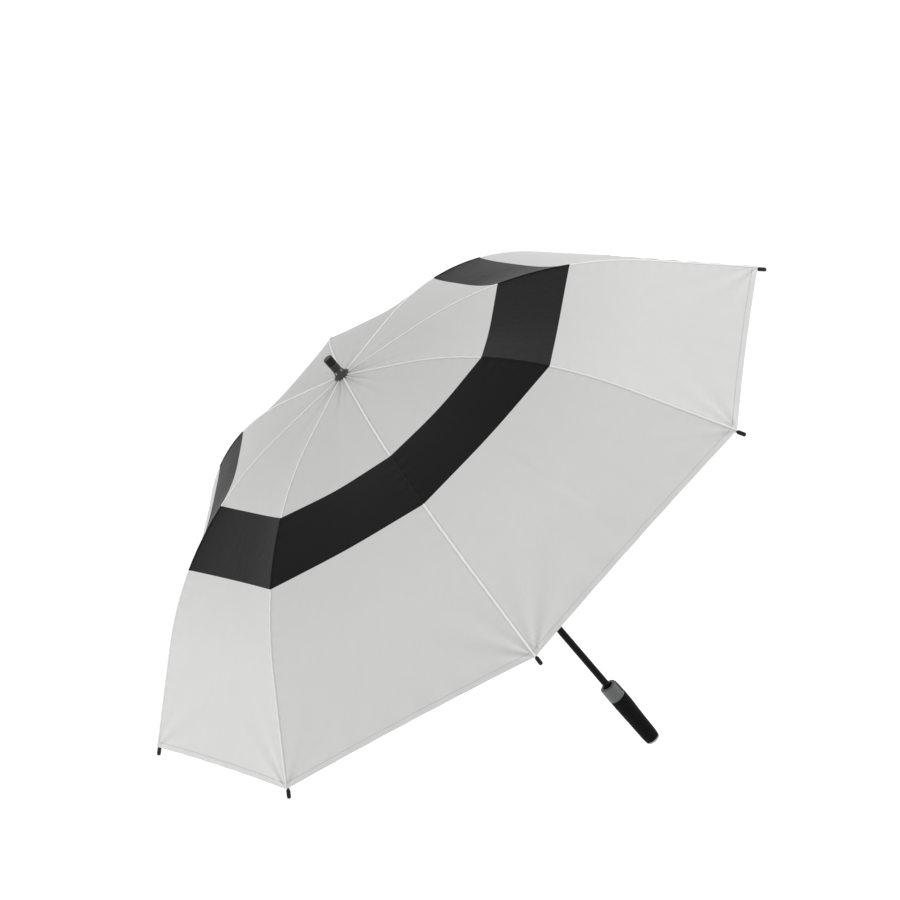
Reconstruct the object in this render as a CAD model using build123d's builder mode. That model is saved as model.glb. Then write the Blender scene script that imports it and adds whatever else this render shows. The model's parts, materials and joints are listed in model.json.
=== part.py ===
"""Golf umbrella, standing open, handle down.

Frame: millimetres, +Z up the shaft to the ferrule, origin at the middle of the
flat end of the handle. Rib 1 points along +X and the ribs are numbered
anticlockwise as seen from above. The release button faces +X.

The frame folds as a slider-crank. The crown hinge and the runner hinge lie at the
same radius, and the rib pivot is as far from one as from the other, so every angle
follows the fold of rib 1 at a constant ratio and the runner slides along the shaft.
"""
from build123d import *
import os
from math import asin, atan2, cos, degrees, hypot, pi, radians, sin, tan

os.makedirs("parts", exist_ok=True)

# ---------------------------------------------------------------- driving dimensions
RIB_COUNT = 8
CANOPY_RADIUS = 650.0        # axis to the canopy corner
APEX_Z = 890.0               # top of the canopy above the handle end
CROWN_SLOPE = 5.3            # degrees, straight first stretch of the seam
RIM_SLOPE = 44.5             # degrees, straight last stretch of the seam
SEAM_LINE = 146.0            # length of the first stretch
SEAM_RADIUS = 614.0          # radius of the arc between the two stretches
FABRIC_T = 1.2
SEAM_GAP = 0.25              # each panel stops this far from the rib plane
HEM_BOW = 9.0                # the hem bows in by this much between two ribs
PANEL_HOLE_R = 8.0           # inner edge of the panels, under the ferrule

SHAFT_R = 6.25
SHAFT_WALL = 0.8
SHAFT_BOTTOM = 8.0
SHAFT_TOP = APEX_Z + 22.0

HINGE_R = 11.0               # crown hinge and runner hinge, from the axis
CROWN_HINGE_DROP = 9.0       # crown hinge below the apex
STRETCHER_L = 343.0          # pivot to pivot
FOLDED_TILT = 1.0            # degrees the folded stretcher leans off the shaft
SLOT_W = 3.2                 # slots of the crown and the runner
EYE_T = 2.4                  # thickness of every eye that turns in a slot
EYE_R = 2.6
WIRE_R = 0.55
EYE_BORE_R = 0.72

ROD_R = 2.0
ROD_DROP = 4.2               # rib centre line below the canopy's outer face
BRACKET_DROP = 9.0           # rib pivot below the rib centre line
PIVOT_PIN_R = 1.0
PIVOT_BORE_R = 1.06
CHEEK_GAP = 3.0
CHEEK_POCKET_R = 4.3         # room for the stretcher's eye between the cheeks
CHEEK_T = 1.5
CRIMP_T = 0.7                # wall of the root sleeve; it hangs below the rod, off the fabric
CLIP_T = 1.2                 # the same for the bracket's clip
SLEEVE_LIP = 0.25            # what both have above the rod
FLEX_STEP = 13.0             # flex point beyond the rib pivot, along the rib
KNUCKLE_R = 2.2
KNUCKLE_GAP = 0.5
TIP_R = 3.5
TIP_L = 15.0
TIP_BORE_L = 8.0

HANDLE_TOP = 137.0
COLLAR_BOTTOM = 108.0
COLLAR_R = 15.0
COLLAR_FLOOR = 113.5
MOUTH_R = 9.0
CORE_R = 10.0
END_T = 4.0
RING_R = 12.9
CAP_R = 10.5

TAIL_R = 8.3                 # lower end of the runner, caught by the latch
GROOVE_R = 7.1
GROOVE_HALF = 1.4            # half the groove's height
SLEEVE_R = 9.4
RUNNER_BORE_R = SHAFT_R + 0.1
LATCH_Z = 121.0              # middle of the latch wire
LOOP_R = 9.85                # wire loop round the shaft, pushed across by the button
LOOP_WIRE_R = 0.8
LOOP_SHIFT = 1.65
LOOP_ROOM_R = 12.4           # groove in the collar that the loop slides in
LOOP_ROOM_HALF = 2.4
STEM_X = LOOP_SHIFT + LOOP_R - 1.0
STEM_W = 6.5
STEM_H = 3.6
BUTTON_TRAVEL = 2.0
PAD_BOTTOM = 111.0
PAD_TOP = 134.5
PAD_W = 9.0
PAD_BACK_X = 13.6
POCKET_X = PAD_BACK_X - BUTTON_TRAVEL - 0.2

PIN_DROP = 20.0              # cross pin below the runner hinge
PIN_R = 1.25
PLUNGER_R = SHAFT_R - SHAFT_WALL - 0.25
SPRING_SEAT_TOP = 34.0

# ---------------------------------------------------------------- derived places
SEAM_ARC = SEAM_RADIUS * radians(RIM_SLOPE - CROWN_SLOPE)


def seam_slope(s):
    """Downward slope of the seam, in degrees, at length s from the apex."""
    turned = min(max(s - SEAM_LINE, 0.0), SEAM_ARC)
    return CROWN_SLOPE + degrees(turned / SEAM_RADIUS)


def seam_point(s, drop=0.0):
    """(radius, z) of the seam at length s, moved square to it by drop, inward."""
    first = min(s, SEAM_LINE)
    r = first * cos(radians(CROWN_SLOPE))
    z = APEX_Z - first * sin(radians(CROWN_SLOPE))
    slope = radians(seam_slope(s))
    if s > SEAM_LINE:
        r += SEAM_RADIUS * (sin(slope) - sin(radians(CROWN_SLOPE)))
        z += SEAM_RADIUS * (cos(slope) - cos(radians(CROWN_SLOPE)))
    if s > SEAM_LINE + SEAM_ARC:
        last = s - SEAM_LINE - SEAM_ARC
        r += last * cos(slope)
        z -= last * sin(slope)
    return (r - drop * sin(slope), z - drop * cos(slope))


_arc_end_r = seam_point(SEAM_LINE + SEAM_ARC)[0]
SEAM_END = SEAM_LINE + SEAM_ARC + (CANOPY_RADIUS - _arc_end_r) / cos(radians(RIM_SLOPE))

CROWN_HINGE = (HINGE_R, APEX_Z - CROWN_HINGE_DROP)


def pivot_reach(s):
    """Distance from the crown hinge to a bracket pivot at seam length s."""
    r, z = seam_point(s, ROD_DROP + BRACKET_DROP)
    return hypot(r - CROWN_HINGE[0], z - CROWN_HINGE[1])


def solve_pivot_length():
    """Seam length at which the bracket pivot is one stretcher from the crown hinge."""
    low, high = 200.0, 600.0
    for _ in range(60):
        middle = (low + high) / 2
        if pivot_reach(middle) < STRETCHER_L:
            low = middle
        else:
            high = middle
    return low


PIVOT_S = solve_pivot_length()
RIB_PIVOT = seam_point(PIVOT_S, ROD_DROP + BRACKET_DROP)
OPEN_ANGLE = degrees(asin((CROWN_HINGE[1] - RIB_PIVOT[1]) / STRETCHER_L))
FOLD = 90.0 - OPEN_ANGLE - FOLDED_TILT
RUNNER_HINGE = (HINGE_R, CROWN_HINGE[1] - 2 * STRETCHER_L * sin(radians(OPEN_ANGLE)))
RUNNER_FOLDED_Z = CROWN_HINGE[1] - 2 * STRETCHER_L * cos(radians(FOLDED_TILT))
RUNNER_TRAVEL = RUNNER_HINGE[1] - RUNNER_FOLDED_Z

FLEX_S = PIVOT_S + FLEX_STEP
FLEX = seam_point(FLEX_S, ROD_DROP)
ROD_END_S = SEAM_END + TIP_BORE_L
ROD_END = seam_point(ROD_END_S, ROD_DROP)
OUTER_CHORD = degrees(atan2(FLEX[1] - ROD_END[1], ROD_END[0] - FLEX[0]))
FLEX_RATIO = (90.0 - OUTER_CHORD) / FOLD - 1.0

PIN_Z = RUNNER_HINGE[1] - PIN_DROP
LATCH_BELOW_HINGE = RUNNER_FOLDED_Z - LATCH_Z

print("seam length", round(SEAM_END, 2), "pivot at", round(PIVOT_S, 2), "flex at", round(FLEX_S, 2))
print("crown hinge", CROWN_HINGE, "rib pivot", RIB_PIVOT, "runner hinge", RUNNER_HINGE)
print("flex point", FLEX, "rod end", ROD_END)
print("open angle", OPEN_ANGLE, "fold", FOLD, "flex ratio", FLEX_RATIO)
print("runner folded", RUNNER_FOLDED_Z, "travel", RUNNER_TRAVEL, "latch below hinge", LATCH_BELOW_HINGE)
print("cross pin z", PIN_Z)

SECTION = Plane.XZ           # the plane of rib 1, x outward and y up
RIB_ANGLES = [360.0 * k / RIB_COUNT for k in range(RIB_COUNT)]
HALF_WEDGE = 180.0 / RIB_COUNT


def save(piece, name):
    """Label a finished piece and write it to its file."""
    piece.label = name
    export_step(piece, f"parts/{name}.step")


def save_round_the_shaft(master, name):
    """Write one copy of a rib 1 piece for every rib."""
    for number, angle in enumerate(RIB_ANGLES, start=1):
        with BuildPart() as copy:
            add(master.part, rotation=(0, 0, angle))
        save(copy.part, f"{name}_{number}")


def draw_seam(drop, start, end):
    """Draw the seam, moved inward by drop, from length start to length end."""
    breaks = [0.0, SEAM_LINE, SEAM_LINE + SEAM_ARC, 2 * SEAM_END]
    for index in range(3):
        low = max(start, breaks[index])
        high = min(end, breaks[index + 1])
        if high - low < 0.01:
            continue
        if index == 1:
            ThreePointArc(
                seam_point(low, drop), seam_point((low + high) / 2, drop), seam_point(high, drop)
            )
        else:
            Line(seam_point(low, drop), seam_point(high, drop))


def seam_path(drop, start, end):
    """The same stretch of seam as a path in the plane of rib 1."""
    with BuildLine(SECTION) as path:
        draw_seam(drop, start, end)
    return path


# ---------------------------------------------------------------- shaft and its inside
with BuildPart() as shaft_tube:
    with BuildSketch(Plane.XY.offset(SHAFT_BOTTOM)):
        Circle(SHAFT_R)
        Circle(SHAFT_R - SHAFT_WALL, mode=Mode.SUBTRACT)
    extrude(amount=SHAFT_TOP - SHAFT_BOTTOM)
    # two long slots, one each side, for the pin that joins the plunger to the runner
    slot_low = PIN_Z - RUNNER_TRAVEL - 2 * PIN_R
    slot_high = PIN_Z + 1.6 * PIN_R
    with BuildSketch(Plane.YZ):
        with Locations((0, (slot_low + slot_high) / 2)):
            SlotOverall(slot_high - slot_low, 2 * PIN_R + 0.4, rotation=90)
    extrude(amount=SHAFT_R + 1, both=True, mode=Mode.SUBTRACT)
save(shaft_tube.part, "shaft_tube")

with BuildPart() as spring_seat:
    with BuildSketch(Plane.XY.offset(SPRING_SEAT_TOP - 10)):
        Circle(SHAFT_R - SHAFT_WALL)
    extrude(amount=10)
    with BuildSketch(Plane.XY.offset(SPRING_SEAT_TOP)):
        Circle(3.0)
    extrude(amount=6)
    chamfer(spring_seat.edges().sort_by(Axis.Z)[-1], 0.8)
save(spring_seat.part, "spring_seat")

with BuildPart() as plunger:
    with BuildSketch(Plane.XY.offset(PIN_Z - 10)):
        Circle(PLUNGER_R)
    extrude(amount=18)
    chamfer(plunger.edges().sort_by(Axis.Z)[-1], 1.0)
    with BuildSketch(Plane.YZ):
        with Locations((0, PIN_Z)):
            Circle(PIN_R)
    extrude(amount=SHAFT_R, both=True, mode=Mode.SUBTRACT)
save(plunger.part, "plunger")

with BuildPart() as cross_pin:
    with BuildSketch(Plane.YZ):
        with Locations((0, PIN_Z)):
            Circle(PIN_R)
    extrude(amount=SLEEVE_R - 0.6, both=True)
save(cross_pin.part, "cross_pin")

SPRING_WIRE_R = 0.6
SPRING_MEAN_R = 4.1
SPRING_TURNS = 40
with BuildPart() as opening_spring:
    spring_low = SPRING_SEAT_TOP + SPRING_WIRE_R + 0.1
    spring_high = PIN_Z - 10 - SPRING_WIRE_R - 0.1
    with BuildLine(Plane.XY.offset(spring_low)) as spring_path:
        Helix((spring_high - spring_low) / SPRING_TURNS, spring_high - spring_low, SPRING_MEAN_R)
    with BuildSketch(spring_path.line ^ 0):
        Circle(SPRING_WIRE_R)
    sweep(path=spring_path.line)
save(opening_spring.part, "opening_spring")

# ---------------------------------------------------------------- crown under the canopy
CROWN_TOP = APEX_Z - 4.7
CROWN_BOTTOM = APEX_Z - 17.0
CROWN_R = 15.0
CROWN_CORE_R = 7.6


def slotted_hub(bottom, top, bore_r, hinge_z, edge):
    """Round hub with one slot for each rib and the ring wire's groove in its teeth."""
    with BuildPart() as hub:
        with BuildSketch(Plane.XY.offset(bottom)):
            Circle(CROWN_R)
            Circle(bore_r, mode=Mode.SUBTRACT)
        extrude(amount=top - bottom)
        rims = hub.edges().filter_by(GeomType.CIRCLE).group_by(SortBy.RADIUS)[-1]
        chamfer(rims, edge)
        with BuildSketch(Plane.XY.offset(bottom)):
            with PolarLocations(CROWN_CORE_R + 10, RIB_COUNT):
                Rectangle(20, SLOT_W)
        extrude(amount=top - bottom, mode=Mode.SUBTRACT)
        with BuildSketch(SECTION):
            with Locations((HINGE_R, hinge_z)):
                Circle(WIRE_R)
        revolve(axis=Axis.Z, mode=Mode.SUBTRACT)
    return hub


crown = slotted_hub(CROWN_BOTTOM, CROWN_TOP, SHAFT_R, CROWN_HINGE[1], 1.0)
save(crown.part, "crown")


def ring_wire(hinge_z):
    """Wire ring that threads the eyes of all the ribs or all the stretchers."""
    with BuildPart() as wire:
        with BuildSketch(SECTION):
            with Locations((HINGE_R, hinge_z)):
                Circle(WIRE_R)
        revolve(axis=Axis.Z)
    return wire


crown_wire = ring_wire(CROWN_HINGE[1])
save(crown_wire.part, "crown_wire")

with BuildPart() as canopy_washer:
    with BuildSketch(Plane.XY.offset(CROWN_TOP)):
        Circle(13.0)
        Circle(SHAFT_R, mode=Mode.SUBTRACT)
    extrude(amount=1.2)
    fillet(canopy_washer.edges().filter_by(GeomType.CIRCLE).sort_by(Axis.Z)[-1], 0.4)
save(canopy_washer.part, "canopy_washer")

# ---------------------------------------------------------------- ferrule
FERRULE_R = 7.8
FERRULE_BASE_R = 14.3
FERRULE_JOINT_Z = APEX_Z + 26.0
FERRULE_TOP_Z = APEX_Z + 40.0
with BuildPart() as ferrule_body:
    with BuildSketch(SECTION):
        with BuildLine():
            Line((SHAFT_R, APEX_Z + 0.4), (FERRULE_BASE_R - 0.8, APEX_Z + 0.4))
            ThreePointArc(
                (FERRULE_BASE_R - 0.8, APEX_Z + 0.4),
                (FERRULE_BASE_R, APEX_Z + 1.4),
                (FERRULE_BASE_R - 0.6, APEX_Z + 2.5),
            )
            ThreePointArc(
                (FERRULE_BASE_R - 0.6, APEX_Z + 2.5),
                (FERRULE_R + 2.0, APEX_Z + 6.6),
                (FERRULE_R, APEX_Z + 12.5),
            )
            Line((FERRULE_R, APEX_Z + 12.5), (FERRULE_R, FERRULE_JOINT_Z))
            Line((FERRULE_R, FERRULE_JOINT_Z), (0, FERRULE_JOINT_Z))
            Line((0, FERRULE_JOINT_Z), (0, SHAFT_TOP))
            Line((0, SHAFT_TOP), (SHAFT_R, SHAFT_TOP))
            Line((SHAFT_R, SHAFT_TOP), (SHAFT_R, APEX_Z + 0.4))
        make_face()
    revolve(axis=Axis.Z)
save(ferrule_body.part, "ferrule_body")

with BuildPart() as ferrule_cap:
    with BuildSketch(Plane.XY.offset(FERRULE_JOINT_Z)):
        Circle(FERRULE_R + 0.3)
    extrude(amount=FERRULE_TOP_Z - FERRULE_JOINT_Z)
    fillet(ferrule_cap.edges().sort_by(Axis.Z)[-1], 1.4)
    chamfer(ferrule_cap.edges().sort_by(Axis.Z)[0], 0.3)
save(ferrule_cap.part, "ferrule_cap")

# ---------------------------------------------------------------- runner
HUB_TOP = RUNNER_HINGE[1] + 5.0
HUB_BOTTOM = RUNNER_HINGE[1] - 8.0
FLANGE_Z = RUNNER_HINGE[1] - 49.0
GROOVE_Z = RUNNER_HINGE[1] - LATCH_BELOW_HINGE
RUNNER_END_Z = GROOVE_Z - 5.0
runner_hub = slotted_hub(HUB_BOTTOM, HUB_TOP, RUNNER_BORE_R, RUNNER_HINGE[1], 1.0)
with BuildPart() as runner:
    add(runner_hub.part)
    with BuildSketch(SECTION):
        with BuildLine():
            Polyline(
                (RUNNER_BORE_R, HUB_BOTTOM),
                (CROWN_R - 1.0, HUB_BOTTOM),
                (SLEEVE_R, HUB_BOTTOM - 5.0),
                (SLEEVE_R, FLANGE_Z + 6.0),
                (SLEEVE_R + 3.6, FLANGE_Z + 2.0),
                (SLEEVE_R + 3.6, FLANGE_Z),
                (TAIL_R, FLANGE_Z - 3.0),
                (TAIL_R, GROOVE_Z + GROOVE_HALF),
                (GROOVE_R, GROOVE_Z + GROOVE_HALF),
                (GROOVE_R, GROOVE_Z - GROOVE_HALF),
                (TAIL_R, GROOVE_Z - GROOVE_HALF),
                (TAIL_R - 0.6, RUNNER_END_Z),
                (RUNNER_BORE_R, RUNNER_END_Z),
                close=True,
            )
        make_face()
    revolve(axis=Axis.Z)
    with BuildSketch(Plane.YZ):
        with Locations((0, PIN_Z)):
            Circle(PIN_R)
    extrude(amount=SLEEVE_R - 0.6, both=True, mode=Mode.SUBTRACT)
save(runner.part, "runner")

runner_wire = ring_wire(RUNNER_HINGE[1])
save(runner_wire.part, "runner_wire")

# ---------------------------------------------------------------- ribs
ROD_START_S = 24.0
CRIMP_END_S = 38.0
rod_start = seam_point(ROD_START_S, ROD_DROP)

with BuildPart() as rib_inner:
    # flat root plate with the crown eye
    with BuildSketch(SECTION):
        with Locations(CROWN_HINGE):
            Circle(EYE_R)
        with Locations(rod_start):
            Circle(ROD_R - 0.3)
        make_hull()
    extrude(amount=EYE_T / 2, both=True)
    # crimped sleeve over the start of the rod
    crimp_path = seam_path(ROD_DROP + CRIMP_T - SLEEVE_LIP, ROD_START_S - 3.0, CRIMP_END_S)
    with BuildSketch(crimp_path.line ^ 0):
        Circle(ROD_R + CRIMP_T)
    sweep(path=crimp_path.line)
    # fibreglass rod up to the flex point
    rod_path = seam_path(ROD_DROP, ROD_START_S, FLEX_S)
    with BuildSketch(rod_path.line ^ 0):
        Circle(ROD_R)
    sweep(path=rod_path.line)
    # bracket clipped round the rod, with two cheeks and a rivet for the stretcher
    clip_path = seam_path(ROD_DROP + CLIP_T - SLEEVE_LIP, PIVOT_S - 7.0, PIVOT_S + 7.0)
    with BuildSketch(clip_path.line ^ 0):
        Circle(ROD_R + CLIP_T)
    sweep(path=clip_path.line)
    clip_centre = seam_point(PIVOT_S, ROD_DROP + CLIP_T - SLEEVE_LIP)
    with BuildSketch(SECTION) as cheek_outline:
        with Locations(RIB_PIVOT):
            Circle(2.9)
        with Locations(clip_centre):
            Circle(ROD_R + CLIP_T - 0.4)
        make_hull()
    extrude(amount=CHEEK_GAP / 2 + CHEEK_T, both=True)
    with BuildSketch(SECTION):
        with Locations(RIB_PIVOT):
            Circle(CHEEK_POCKET_R)
    extrude(amount=CHEEK_GAP / 2, both=True, mode=Mode.SUBTRACT)
    with BuildSketch(SECTION):
        with Locations(RIB_PIVOT):
            Circle(PIVOT_PIN_R)
    extrude(amount=CHEEK_GAP / 2 + CHEEK_T + 0.5, both=True)
    # eye bore for the crown wire, and room for the knuckle of the outer rib
    with BuildSketch(SECTION):
        with Locations(CROWN_HINGE):
            Circle(EYE_BORE_R)
        with Locations(FLEX):
            Circle(KNUCKLE_R + KNUCKLE_GAP)
    extrude(amount=10, both=True, mode=Mode.SUBTRACT)
save_round_the_shaft(rib_inner, "rib_inner")

with BuildPart() as rib_outer:
    with BuildSketch(SECTION):
        with Locations(FLEX):
            Circle(KNUCKLE_R)
    extrude(amount=KNUCKLE_R, both=True)
    outer_path = seam_path(ROD_DROP, FLEX_S, ROD_END_S)
    with BuildSketch(outer_path.line ^ 0):
        Circle(ROD_R)
    sweep(path=outer_path.line)
save_round_the_shaft(rib_outer, "rib_outer")

tip_start = seam_point(SEAM_END + 0.6, ROD_DROP)
rim_direction = (cos(radians(RIM_SLOPE)), 0, -sin(radians(RIM_SLOPE)))
tip_plane = Plane(origin=(tip_start[0], 0, tip_start[1]), x_dir=(0, 1, 0), z_dir=rim_direction)
with BuildPart() as rib_tip:
    with BuildSketch(tip_plane):
        Circle(TIP_R)
    extrude(amount=TIP_L)
    rounded = rib_tip.edges().filter_by(GeomType.CIRCLE).sort_by(Axis.Z)
    fillet(rounded[0], TIP_R - 0.3)
    chamfer(rib_tip.edges().filter_by(GeomType.CIRCLE).sort_by(Axis.Z)[-1], 0.9)
    with BuildSketch(tip_plane):
        Circle(ROD_R)
    extrude(amount=TIP_BORE_L - 0.6, mode=Mode.SUBTRACT)
save_round_the_shaft(rib_tip, "rib_tip")

# ---------------------------------------------------------------- stretchers
with BuildPart() as stretcher:
    with BuildSketch(SECTION):
        with Locations(RUNNER_HINGE, RIB_PIVOT):
            Circle(EYE_R)
        with BuildLine():
            Line(RUNNER_HINGE, RIB_PIVOT)
        # the bar between the two eyes
        middle_r = (RUNNER_HINGE[0] + RIB_PIVOT[0]) / 2
        middle_z = (RUNNER_HINGE[1] + RIB_PIVOT[1]) / 2
        with Locations(Location((middle_r, middle_z), OPEN_ANGLE)):
            Rectangle(STRETCHER_L, 4.0)
    extrude(amount=EYE_T / 2, both=True)
    # open channel along the bar's lower face
    with BuildSketch(SECTION):
        with Locations(Location((middle_r, middle_z), OPEN_ANGLE)):
            with Locations((0, -1.2)):
                Rectangle(STRETCHER_L - 40.0, 2.4)
    extrude(amount=0.6, both=True, mode=Mode.SUBTRACT)
    with BuildSketch(SECTION):
        with Locations(RUNNER_HINGE):
            Circle(EYE_BORE_R)
        with Locations(RIB_PIVOT):
            Circle(PIVOT_BORE_R)
    extrude(amount=5, both=True, mode=Mode.SUBTRACT)
save_round_the_shaft(stretcher, "stretcher")

# ---------------------------------------------------------------- canopy panels
panel_direction = (-sin(radians(HALF_WEDGE)), cos(radians(HALF_WEDGE)), 0)
PANEL_START_S = 2.0
corner = (CANOPY_RADIUS, 0)
far_corner = (
    CANOPY_RADIUS * cos(radians(2 * HALF_WEDGE)),
    CANOPY_RADIUS * sin(radians(2 * HALF_WEDGE)),
)
hem_middle_r = CANOPY_RADIUS * cos(radians(HALF_WEDGE)) - HEM_BOW
hem_middle = (hem_middle_r * cos(radians(HALF_WEDGE)), hem_middle_r * sin(radians(HALF_WEDGE)))
gap_reach = SEAM_GAP / sin(radians(HALF_WEDGE))
wedge_point = (gap_reach * cos(radians(HALF_WEDGE)), gap_reach * sin(radians(HALF_WEDGE)))

with BuildPart() as canopy_panel:
    # section in the plane of the rib, drawn out along the straight line to the next rib
    with BuildSketch(SECTION):
        with BuildLine():
            draw_seam(0.0, PANEL_START_S, SEAM_END)
            draw_seam(FABRIC_T, PANEL_START_S, SEAM_END)
            Line(seam_point(PANEL_START_S), seam_point(PANEL_START_S, FABRIC_T))
            Line(seam_point(SEAM_END), seam_point(SEAM_END, FABRIC_T))
        make_face()
    extrude(amount=2 * CANOPY_RADIUS * sin(radians(HALF_WEDGE)), dir=panel_direction)
    # the wedge between two ribs, with the bowed hem
    with BuildSketch(Plane.XY):
        with BuildLine():
            Line(wedge_point, (CANOPY_RADIUS, SEAM_GAP))
            ThreePointArc(
                (CANOPY_RADIUS, SEAM_GAP),
                hem_middle,
                (
                    far_corner[0] + SEAM_GAP * sin(radians(2 * HALF_WEDGE)),
                    far_corner[1] - SEAM_GAP * cos(radians(2 * HALF_WEDGE)),
                ),
            )
            Line(
                (
                    far_corner[0] + SEAM_GAP * sin(radians(2 * HALF_WEDGE)),
                    far_corner[1] - SEAM_GAP * cos(radians(2 * HALF_WEDGE)),
                ),
                wedge_point,
            )
        make_face()
        Circle(PANEL_HOLE_R, mode=Mode.SUBTRACT)
    extrude(amount=APEX_Z + 10, mode=Mode.INTERSECT)
save_round_the_shaft(canopy_panel, "canopy_panel")

# ---------------------------------------------------------------- tie strap, on the seam of rib 3
STRAP_L = 150.0
STRAP_W = 18.0
STRAP_T = 1.2
STRAP_RIB_ANGLE = RIB_ANGLES[2]
strap_middle = seam_point(SEAM_END - 95.0, -(0.8 + STRAP_T / 2))
strap_plane = Plane(
    origin=(strap_middle[0], 0, strap_middle[1]),
    x_dir=rim_direction,
    z_dir=(sin(radians(RIM_SLOPE)), 0, cos(radians(RIM_SLOPE))),
)
with BuildPart() as strap_master:
    with BuildSketch(strap_plane):
        RectangleRounded(STRAP_L, STRAP_W, 6.0)
    extrude(amount=STRAP_T / 2, both=True)
with BuildPart() as tie_strap:
    add(strap_master.part, rotation=(0, 0, STRAP_RIB_ANGLE))
save(tie_strap.part, "tie_strap")

# ---------------------------------------------------------------- handle
with BuildPart() as handle_core:
    with BuildSketch(Plane.XY.offset(END_T)):
        Circle(CORE_R)
    extrude(amount=COLLAR_BOTTOM - END_T)
    with BuildSketch(Plane.XY.offset(END_T)):
        Circle(SHAFT_R)
    extrude(amount=COLLAR_BOTTOM - END_T, mode=Mode.SUBTRACT)
save(handle_core.part, "handle_core")

# (height, radius, shift towards the button): fullest just under the collar
GRIP_SECTIONS = [
    (END_T, 13.0, 0.0),
    (END_T + 5.0, 13.6, 0.1),
    (40.0, 14.6, 0.35),
    (74.0, 15.6, 0.75),
    (96.0, 16.1, 1.0),
    (COLLAR_BOTTOM, 16.1, 1.0),
]
with BuildPart() as handle_grip:
    for height, radius, shift in GRIP_SECTIONS:
        with BuildSketch(Plane.XY.offset(height)):
            with Locations((shift, 0)):
                Circle(radius)
    loft()
    fillet(handle_grip.edges().sort_by(Axis.Z)[0], 1.2)
    fillet(handle_grip.edges().sort_by(Axis.Z)[-1], 0.7)
    with BuildSketch(Plane.XY.offset(END_T)):
        Circle(CORE_R)
    extrude(amount=COLLAR_BOTTOM - END_T, mode=Mode.SUBTRACT)
save(handle_grip.part, "handle_grip")

with BuildPart() as end_ring:
    with BuildSketch(SECTION):
        with BuildLine():
            Polyline(
                (CAP_R, 0.6), (RING_R - 0.9, 0.6), (RING_R, 1.5), (RING_R, END_T), (CAP_R, END_T), close=True
            )
        make_face()
    revolve(axis=Axis.Z)
save(end_ring.part, "end_ring")

with BuildPart() as end_cap:
    with BuildSketch(Plane.XY):
        Circle(CAP_R)
    extrude(amount=END_T)
    chamfer(end_cap.edges().sort_by(Axis.Z)[0], 0.5)
    with BuildSketch(Plane.XY.offset(END_T)):
        Circle(SHAFT_R - SHAFT_WALL - 0.3)
    extrude(amount=14)
save(end_cap.part, "end_cap")

# ---------------------------------------------------------------- collar, latch and release button
with BuildPart() as handle_collar:
    with BuildSketch(SECTION):
        with BuildLine():
            Polyline(
                (SHAFT_R, COLLAR_BOTTOM),
                (COLLAR_R + 0.3, COLLAR_BOTTOM),
                (COLLAR_R, HANDLE_TOP),
                (MOUTH_R, HANDLE_TOP),
                (MOUTH_R, LATCH_Z + LOOP_ROOM_HALF),
                (LOOP_ROOM_R, LATCH_Z + LOOP_ROOM_HALF),
                (LOOP_ROOM_R, LATCH_Z - LOOP_ROOM_HALF),
                (MOUTH_R, LATCH_Z - LOOP_ROOM_HALF),
                (MOUTH_R, COLLAR_FLOOR),
                (SHAFT_R, COLLAR_FLOOR),
                close=True,
            )
        make_face()
    revolve(axis=Axis.Z)
    top_rims = handle_collar.edges().filter_by(GeomType.CIRCLE).group_by(Axis.Z)[-1].sort_by(SortBy.RADIUS)
    fillet(top_rims[-1], 2.6)
    fillet(top_rims[0], 1.0)
    # pocket for the button's pad
    with BuildSketch(Plane.YZ.offset(POCKET_X)):
        with Locations((0, (PAD_BOTTOM + PAD_TOP) / 2)):
            RectangleRounded(PAD_W + 0.7, PAD_TOP - PAD_BOTTOM + 0.7, 3.2)
    extrude(amount=10, mode=Mode.SUBTRACT)
save(handle_collar.part, "handle_collar")

loop_plane = Plane(origin=(LOOP_SHIFT, 0, LATCH_Z), x_dir=(1, 0, 0), z_dir=(0, -1, 0))
with BuildPart() as latch_spring:
    with BuildSketch(loop_plane):
        with Locations((LOOP_R, 0)):
            Circle(LOOP_WIRE_R)
    revolve(axis=Axis((LOOP_SHIFT, 0, 0), (0, 0, 1)))
save(latch_spring.part, "latch_spring")

with BuildPart() as release_button:
    # pad, curved like the grip below it, slightly proud of the collar
    with BuildSketch(Plane.YZ.offset(PAD_BACK_X)):
        with Locations((0, (PAD_BOTTOM + PAD_TOP) / 2)):
            RectangleRounded(PAD_W, PAD_TOP - PAD_BOTTOM, 2.8)
    extrude(amount=6)
    with BuildSketch(SECTION):
        with BuildLine():
            Polyline(
                (0, LATCH_Z - 12),
                (17.1, LATCH_Z - 12),
                (17.0, LATCH_Z + 2),
                (15.9, PAD_TOP + 1),
                (0, PAD_TOP + 1),
                close=True,
            )
        make_face()
    revolve(axis=Axis.Z, mode=Mode.INTERSECT)
    # stem that holds the near side of the wire loop
    with BuildSketch(Plane.YZ.offset(STEM_X)):
        with Locations((0, LATCH_Z)):
            Rectangle(STEM_W, STEM_H)
    extrude(amount=PAD_BACK_X + 0.5 - STEM_X)
    add(latch_spring.part, mode=Mode.SUBTRACT)
save(release_button.part, "release_button")
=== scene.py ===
"""Golf umbrella standing open: the looks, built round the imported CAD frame.

Metres, +Z up the shaft, origin at the end of the handle. Rib 1 points along +X and the
ribs are numbered anticlockwise from above. Gore k is the cloth between rib k and the
next one. Each gore is cut along its middle, and each half belongs to the rib beside it.
Each half is cut again across the rib into strips, because closing the umbrella draws every
strip in by its own amount.
"""

import json
import random
from math import atan2, ceil, cos, exp, hypot, pi, radians, sin, sqrt, tan

import bpy
from mathutils import Matrix, Vector


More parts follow.
